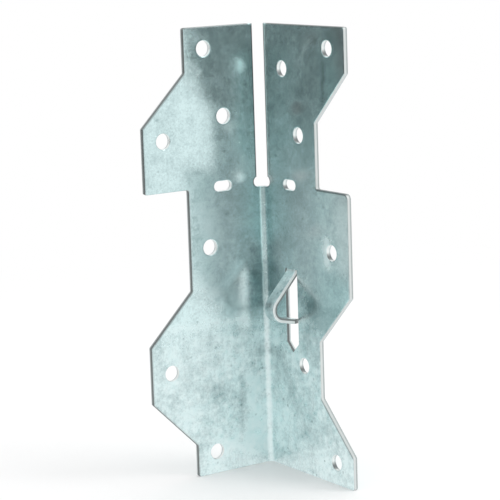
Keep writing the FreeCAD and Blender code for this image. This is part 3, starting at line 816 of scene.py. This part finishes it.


# A mark runs from one place of the flat blank to another, each given as millimetres across from the fold and
# up from the foot. Its half width follows, in millimetres, and then how much it lightens or dulls the zinc.
# The marks are partly stains and partly painted reflections, highlights and shade.
STAINS_AND_PAINTED_LIGHT = (
    ((-20, 92), (-20, 84), 4, 0.12),
    ((-8, 106), (-5.5, 78), 5, 0.22),
    ((-32, 82.5), (-28, 82), 1.2, -0.10),
    ((-31, 79), (-19, 78.5), 5, 0.06),
    ((-18, 71), (-18.5, 50), 5, 0.22),
    # Painted reflection: a dark band beside the fold, the mirror image of the prong.
    ((-3.5, 56), (-4, 41), 2.4, -0.50),
    ((-7.5, 50.5), (-7, 37.5), 1, 0.25),
    ((-26, 44), (-28, 40), 4, 0.10),
    ((-31.5, 39.5), (-15, 39.5), 1.5, 0.15),
    ((-19, 40), (-7, 39), 1.5, 0.15),
    ((-9.5, 36.5), (-2.5, 36.5), 1, -0.15),
    # Painted reflection: a dark line with a lighter band beside it.
    ((-8.5, 24.5), (-9.5, 7.5), 1, -0.32),
    ((-6.5, 24), (-7, 8), 1.4, 0.10),
    ((-23, 23.5), (-9.5, 19), 2.4, -0.20),
    ((-4, 21), (-4, 6), 2.5, 0.18),
    ((-14, 8), (-3, 6), 4, 0.22),
    ((-2, 71), (-2, 58), 0.8, 0.35),
    ((0, 53), (0, 46), 1.5, -0.30),
    # Painted shade that breaks the highlight along the fold.
    ((-2.5, 30.5), (2.5, 30), 1.5, -0.25),
    ((2, 71), (2.5, 41), 2, -0.55),
    ((27, 105.5), (26.5, 95), 0.6, -0.40),
    ((33, 105), (31, 98), 3, 0.15),
    ((6, 103), (6, 82), 5, -0.10),
    ((7, 72), (8, 64), 5, -0.15),
    ((25, 70.5), (34, 66.5), 5, 0.16),
    ((26.5, 61), (27, 56), 1.6, 0.30),
    # Painted shadow below the prong's root.
    ((11, 52.5), (11, 51), 1.5, -0.20),
    ((4.5, 52), (5, 46), 2, -0.25),
    ((15.5, 46.5), (20, 43.5), 3, -0.45),
    ((11, 43.5), (11, 37.5), 2, -0.50),
    ((21, 43.5), (29.5, 43), 4.5, -0.32),
    ((19, 38.5), (25, 39), 1.5, -0.25),
    ((19, 33.5), (24, 31), 4, -0.34),
    ((4, 33), (5.5, 32), 1.5, 0.30),
    ((5, 31), (10, 21.5), 1.8, -0.35),
    ((3.5, 27), (4.5, 22), 2, -0.25),
    ((4, 15), (5, 6), 2.5, 0.18),
    ((13, 10.5), (27, 13.5), 3, -0.22),
)
# The same for the scuffs, whose last number is how far they weather the zinc.
SCUFFS = (
    ((-21.5, 105), (-19, 103), 1.6, 0.3),
    ((-22.5, 101), (-18.5, 97.5), 0.7, 0.3),
    ((-7, 101), (-5.5, 80), 5, 0.25),
    ((-19, 68), (-19, 58), 5, 0.15),
    ((-7.5, 50.5), (-7, 37.5), 1, 0.3),
    ((-23, 49), (-16, 43), 3.5, 0.4),
    ((-31.5, 39.5), (-7, 39), 0.8, 0.4),
    ((-19.5, 35.5), (-13.5, 34.5), 1.6, 0.3),
    ((-14, 6), (-3, 3), 4, 0.6),
    ((0, 70), (0, 5), 1.6, 0.35),
    ((21.5, 110.5), (17, 105), 1.2, 0.2),
    ((27, 72), (30, 66), 6, 0.2),
    ((26.5, 61), (27, 56), 1.5, 1.2),
    ((16, 48), (18.5, 41), 3.5, 0.4),
    ((14.5, 35.5), (25, 35.5), 1, 0.3),
)
# The same for the tint, whose last number takes the zinc towards its teal or its pale colour.
TINTS = (
    ((-4.5, 104), (-4, 86), 4, 0.8),
    ((-4, 86), (-4, 62), 3, 0.4),
    ((-1.5, 72), (-1.5, 48), 2, 0.45),
    ((-14, 70), (-13, 50), 6, -0.22),
    ((7, 104), (7, 84), 4, -0.32),
    ((4.5, 75), (5, 54), 3.5, -0.32),
    ((15, 70), (19, 44), 8, -0.28),
    ((30, 110), (30, 96), 4, 0.4),
)


def strokes(flat, marks):
    """The sum of marks at each place of the blank.

    A mark is strongest on its line, and fades by a bell curve of its half width."""
    total = np.zeros(len(flat))
    for start, end, half_width, amount in marks:
        first = np.array(start) * MM
        run = np.array(end) * MM - first
        along = np.clip((flat - first) @ run / (run @ run), 0, 1)
        apart = np.linalg.norm(flat - first - along[:, None] * run, axis=1)
        total += amount * np.exp(-(apart / (half_width * MM)) ** 2)
    return total


# Where the weathering fades, above and below its height.
FADE_ABOVE = 6 * MM
FADE_BELOW = 10 * MM
# Weathering of the prong's strip, tone of plain zinc, what weathering adds to that tone, the painted
# highlight that the fold adds to it, and the tint of plain zinc.
STRIP_WEATHERING = 0.9
PLAIN_TONE = 0.76
WEATHERED_TONE = 0.06
FOLD_PAINTED_HIGHLIGHT = 0.2
PLAIN_TINT = 0.32


def weathering(zinc, flat):
    """How weathered the zinc is at each place of the blank: fully near the foot, and not at all higher up."""
    return smooth_step(flat[:, 1], zinc.weathered + FADE_ABOVE, zinc.weathered - FADE_BELOW)


class FoldAngle(bpy.types.Operator):
    """Fold the pierced galvanised sheet, bend its prong and give it its zinc finish"""

    bl_idname = "framing_angle.fold"
    bl_label = "Fold the Angle"

    def execute(self, context):
        scene = context.scene
        sheet = scene.angle_sheet
        made = sheet_mesh(sheet, scene.angle_nails, scene.angle_prong, scene.angle_edges)
        mesh = new_mesh("folded_sheet", made.places, made.triangles, made.quads)
        aged = np.maximum(weathering(scene.angle_zinc, made.flat), STRIP_WEATHERING * made.on_strip)
        aged = np.clip(aged + strokes(made.flat, SCUFFS), 0, 1)
        on_fold = smooth_step(np.abs(made.flat[:, 0]), fold_half(sheet), 0.0)
        inner_share = 1 - made.depth / sheet.thickness
        # The tone carries painted light: a painted highlight along the fold, and on the inner face painted
        # reflections, highlights and shade among the stains.
        tone = PLAIN_TONE + WEATHERED_TONE * aged + FOLD_PAINTED_HIGHLIGHT * on_fold
        add_attribute(mesh, "zinc_tone_with_painted_light", tone + strokes(made.flat, STAINS_AND_PAINTED_LIGHT) * inner_share)
        add_attribute(mesh, "tint", PLAIN_TINT + strokes(made.flat, TINTS) * inner_share)
        add_attribute(mesh, "weathering", aged)
        add_attribute(mesh, "cut", made.cut)
        add_attribute(mesh, "torn", made.torn)
        add_attribute(mesh, "painted_edge_shade", made.painted_edge_shade)
        piece = bpy.data.objects.new("folded_sheet", mesh)
        scene.collection.objects.link(piece)
        mesh.materials.append(zinc_material(scene.angle_zinc))
        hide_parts(NODE)
        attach(piece, BODY)
        return {"FINISHED"}


WHITE = (1.0, 1.0, 1.0, 1.0)
FLOOR_SIDES = 64
# Distances from the angle between which the floor turns white to the camera.
FLOOR_NEAR = 100 * MM
FLOOR_FAR = 300 * MM
# Bearings between which the dark cloth hangs and over which it thins out, in degrees.
CLOTH_BEARINGS = (105, 271)
THIN_BEARINGS = (238, 268)
CLOTH_COLUMNS = 97
CLOTH_FADE_POWER = 3.0
KEY_PLACE = (450 * MM, -500 * MM, 600 * MM)
KEY_TARGET = (0.0, 0.0, 50 * MM)
# Width of the camera's sensor in millimetres, as Blender counts it.
SENSOR_WIDTH = 36.0
CLIP_START = 10 * MM


def backdrop_rays(tree):
    """1 for the rays that see the white surroundings: from the camera, in gloss and through glass."""
    path = add_node(tree, "ShaderNodeLightPath")
    seen = calculate(tree, "MAXIMUM", path.outputs["Is Camera Ray"], path.outputs["Is Glossy Ray"])
    return calculate(tree, "MAXIMUM", seen, path.outputs["Is Transmission Ray"])


def set_sky(stage):
    """White all round to the eye and in reflections, and a plain soft light on everything."""
    world = bpy.data.worlds.new("studio")
    world.use_nodes = True
    tree = world.node_tree
    tree.nodes.clear()
    seen = backdrop_rays(tree)
    level = add_node(tree, "ShaderNodeMix", {0: seen, 2: stage.sky, 3: 1.0}).outputs[0]
    light = add_node(tree, "ShaderNodeBackground", {"Color": WHITE, "Strength": level})
    add_node(tree, "ShaderNodeOutputWorld", {"Surface": light.outputs[0]})
    bpy.context.scene.world = world


def new_stage_piece(name, finish, points, faces):
    """A piece of the stage with an empty material, and that material's node tree."""
    mesh = bpy.data.meshes.new(name)
    mesh.from_pydata(points.tolist(), [], faces.tolist())
    piece = bpy.data.objects.new(name, mesh)
    bpy.context.scene.collection.objects.link(piece)
    material = bpy.data.materials.new(finish)
    material.use_nodes = True
    material.node_tree.nodes.clear()
    mesh.materials.append(material)
    return piece, material.node_tree


def add_floor(stage):
    """A round pale floor: it takes the angle's shadow, and far off it is as white as the surroundings."""
    angles = np.linspace(0, 2 * math.pi, FLOOR_SIDES, endpoint=False)
    rim = stage.floor_radius * np.column_stack((np.cos(angles), np.sin(angles), np.zeros(FLOOR_SIDES)))
    floor, tree = new_stage_piece("floor", "pale_floor", rim, np.arange(FLOOR_SIDES)[None])
    matt = add_node(tree, "ShaderNodeBsdfDiffuse", {"Color": solid(stage.floor_colour)})
    white = add_node(tree, "ShaderNodeEmission", {"Color": WHITE, "Strength": 1.0})
    place = add_node(tree, "ShaderNodeTexCoord").outputs["Object"]
    away = add_node(tree, "ShaderNodeVectorMath", {0: place}, operation="LENGTH").outputs["Value"]
    far = add_node(
        tree, "ShaderNodeMapRange", {"Value": away, "From Min": FLOOR_NEAR, "From Max": FLOOR_FAR},
        interpolation_type="SMOOTHSTEP").outputs[0]
    path = add_node(tree, "ShaderNodeLightPath").outputs
    share_white = calculate(tree, "MULTIPLY", far, path["Is Camera Ray"])
    share_white = calculate(tree, "MAXIMUM", share_white, path["Is Glossy Ray"])
    both = add_node(tree, "ShaderNodeMixShader", {0: share_white, 1: matt.outputs[0], 2: white.outputs[0]})
    add_node(tree, "ShaderNodeOutputMaterial", {"Surface": both.outputs[0]})


def add_cloth(stage):
    """A dark cloth hung in a half circle on the left, for the zinc to reflect: a wall of one radius.

    It is paler at its hem, and where it thins out at its right-hand end."""
    bearings = np.linspace(*CLOTH_BEARINGS, CLOTH_COLUMNS)
    angles = np.radians(bearings)
    lower = stage.cloth_distance * np.column_stack((np.cos(angles), np.sin(angles), np.zeros(CLOTH_COLUMNS)))
    upper = lower + (0, 0, stage.cloth_height)
    first = np.arange(CLOTH_COLUMNS - 1)
    quads = np.column_stack((first, first + 1, first + 1 + CLOTH_COLUMNS, first + CLOTH_COLUMNS))
    cloth, tree = new_stage_piece("dark_cloth", "dark_cloth", np.vstack((lower, upper)), quads)
    add_attribute(cloth.data, "thin", np.tile(smooth_step(bearings, *THIN_BEARINGS), 2))
    place = add_node(tree, "ShaderNodeTexCoord").outputs["Object"]
    level = add_node(tree, "ShaderNodeSeparateXYZ", {0: place}).outputs["Z"]
    fade = add_node(tree, "ShaderNodeMapRange", {"Value": level, "From Max": stage.cloth_fade}).outputs[0]
    fade = calculate(tree, "POWER", fade, CLOTH_FADE_POWER)
    shade = blend_colours(tree, fade, solid(stage.cloth_low), solid(stage.cloth_high))
    shade = blend_colours(tree, attribute(tree, "thin"), shade, solid(stage.cloth_thin))
    matt = add_node(tree, "ShaderNodeBsdfDiffuse", {"Color": shade})
    add_node(tree, "ShaderNodeOutputMaterial", {"Surface": matt.outputs[0]})
    cloth.visible_camera = False
    cloth.visible_diffuse = False
    cloth.visible_shadow = False


def look_at(place, target):
    """Matrix of a lamp that stands at a place and shines at a target."""
    aim = (Vector(target) - Vector(place)).to_track_quat("-Z", "Y")
    return Matrix.Translation(place) @ aim.to_matrix().to_4x4()


def add_key(stage):
    """The one soft lamp, above and to the right of the camera."""
    lamp = bpy.data.lights.new("key", "AREA")
    lamp.energy = stage.key_power
    lamp.size = stage.key_size
    key = bpy.data.objects.new("key", lamp)
    bpy.context.scene.collection.objects.link(key)
    key.matrix_world = look_at(KEY_PLACE, KEY_TARGET)


def add_camera(stage):
    """The camera, from its place, bearing, height and lean."""
    data = bpy.data.cameras.new("camera")
    data.lens = stage.lens
    data.sensor_width = SENSOR_WIDTH
    data.clip_start = CLIP_START
    camera = bpy.data.objects.new("camera", data)
    bpy.context.scene.collection.objects.link(camera)
    aim = (Matrix.Rotation(stage.azimuth, 3, "Z") @ Matrix.Rotation(math.pi / 2 - stage.elevation, 3, "X")
           @ Matrix.Rotation(stage.roll, 3, "Z"))
    camera.matrix_world = Matrix.Translation(stage.camera_place) @ aim.to_4x4()
    bpy.context.scene.camera = camera


class SetStage(bpy.types.Operator):
    """Set the floor, the light, the dark cloth and the camera"""

    bl_idname = "framing_angle.stage"
    bl_label = "Set the Stage"

    def execute(self, context):
        stage = context.scene.angle_stage
        context.scene.view_settings.view_transform = "Standard"
        set_sky(stage)
        add_floor(stage)
        add_cloth(stage)
        add_key(stage)
        add_camera(stage)
        return {"FINISHED"}


class AnglePanel(bpy.types.Panel):
    """Sizes, finish and stage of the framing angle"""

    bl_idname = "VIEW3D_PT_framing_angle"
    bl_label = "Framing Angle"
    bl_space_type = "VIEW_3D"
    bl_region_type = "UI"
    bl_category = "Framing Angle"

    def draw(self, context):
        for name in GROUPS:
            box = self.layout.box()
            group = getattr(context.scene, name)
            for field in group.__annotations__:
                box.prop(group, field)
        self.layout.operator(FoldAngle.bl_idname)
        self.layout.operator(SetStage.bl_idname)


GROUPS = {
    "angle_sheet": AngleSheet,
    "angle_nails": AngleNails,
    "angle_prong": AngleProng,
    "angle_edges": AngleEdges,
    "angle_zinc": AngleZinc,
    "angle_stage": AngleStage,
}
CLASSES = (*GROUPS.values(), FoldAngle, SetStage, AnglePanel)


def register():
    for item in CLASSES:
        bpy.utils.register_class(item)
    for name, group in GROUPS.items():
        setattr(bpy.types.Scene, name, bpy.props.PointerProperty(type=group))


def unregister():
    for name in GROUPS:
        delattr(bpy.types.Scene, name)
    for item in reversed(CLASSES):
        bpy.utils.unregister_class(item)


def main():
    """Register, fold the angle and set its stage."""
    register()
    bpy.ops.framing_angle.fold()
    bpy.ops.framing_angle.stage()


if __name__ == "__main__":
    main()
